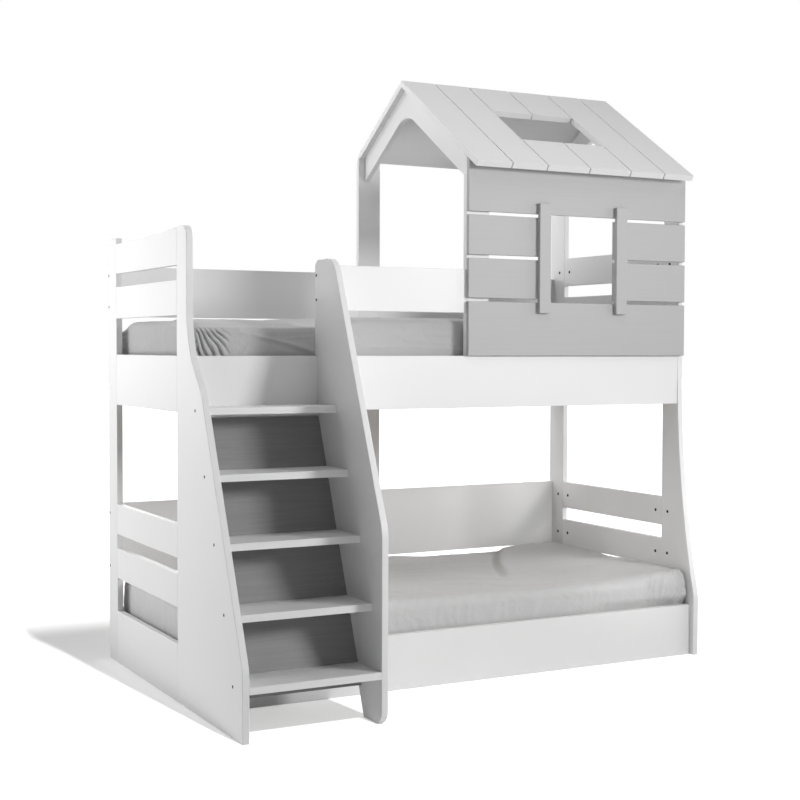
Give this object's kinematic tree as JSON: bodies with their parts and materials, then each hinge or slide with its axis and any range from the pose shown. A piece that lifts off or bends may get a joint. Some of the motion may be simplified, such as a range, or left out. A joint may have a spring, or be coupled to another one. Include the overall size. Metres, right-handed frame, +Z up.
{
  "type": "bunk bed",
  "caption": "Bunk bed of painted boards with closed-side stairs at one end, guard rails and a small pitched-roof play house over half of the upper bunk.",
  "frame": {"origin": "centre of the footprint box on the floor", "axes": "+X to the viewer's right along the bed, +Y to the rear, +Z up"},
  "size_m": [1.97, 1.3242, 2.1499],
  "materials": {
    "white_lacquer": "satin lacquered board",
    "grey_lacquer": "matt grey lacquered board",
    "riser_lacquer": "mid grey lacquered board",
    "roof_lacquer": "matt light grey lacquered board",
    "bare_wood": "planed bare softwood",
    "dark_steel": "dark zinc plated",
    "sheet_fabric": "grey cotton fitted sheet"
  },
  "bodies": {
    "bed_frame": {"left_rear_post": "white_lacquer", "left_top_panel": "white_lacquer", "left_upper_guard_board": "white_lacquer", "left_mid_panel": "white_lacquer", "left_lower_guard_board_1": "white_lacquer", "left_lower_guard_board_2": "white_lacquer", "left_bottom_board": "white_lacquer", "left_stringer": "white_lacquer", "right_rear_post": "white_lacquer", "right_front_leg": "white_lacquer", "right_top_guard_board": "white_lacquer", "right_upper_guard_board": "white_lacquer", "right_mid_panel": "white_lacquer", "right_lower_guard_board_1": "white_lacquer", "right_lower_guard_board_2": "white_lacquer", "right_bottom_board": "white_lacquer", "right_stringer": "white_lacquer", "tread_1": "white_lacquer", "tread_2": "white_lacquer", "tread_3": "white_lacquer", "tread_4": "white_lacquer", "tread_5": "white_lacquer", "short_upper_rail": "white_lacquer", "long_upper_rail": "white_lacquer", "front_guard_rail": "white_lacquer", "lower_front_rail": "white_lacquer", "middle_rear_post": "white_lacquer", "rear_upper_guard_left": "white_lacquer", "rear_upper_guard_right": "white_lacquer", "rear_upper_rail_left": "white_lacquer", "rear_upper_rail_right": "white_lacquer", "rear_lower_panel_left": "white_lacquer", "rear_lower_panel_right": "white_lacquer", "rear_lower_rail_left": "white_lacquer", "rear_lower_rail_right": "white_lacquer", "house_front_post": "white_lacquer", "gable_left": "white_lacquer", "gable_right": "white_lacquer", "house_bottom_board": "grey_lacquer", "house_top_board": "grey_lacquer", "house_planks_left": "grey_lacquer", "house_planks_right": "grey_lacquer", "window_batten_left": "grey_lacquer", "window_batten_right": "grey_lacquer", "stair_back_board": "riser_lacquer", "roof_rear_panel": "roof_lacquer", "roof_long_planks": "roof_lacquer", "roof_skylight_planks_upper": "roof_lacquer", "roof_skylight_planks_lower": "roof_lacquer", "upper_slat_ledgers": "bare_wood", "upper_slats": "bare_wood", "lower_slat_ledgers": "bare_wood", "lower_slats": "bare_wood", "dowels": "bare_wood", "side_screws": "dark_steel", "cam_discs": "dark_steel", "cam_bolts": "dark_steel"},
    "upper_mattress_body": {"upper_mattress": "sheet_fabric"},
    "lower_mattress_body": {"lower_mattress": "sheet_fabric"}
  },
  "joints": [
    {"name": "upper_mattress_lift", "type": "slide", "parent": "bed_frame", "child": "upper_mattress_body", "axis": [0, 0, 1], "range_m": [0, 0.15]},
    {"name": "lower_mattress_lift", "type": "slide", "parent": "bed_frame", "child": "lower_mattress_body", "axis": [0, 0, 1], "range_m": [0, 0.15]}
  ]
}
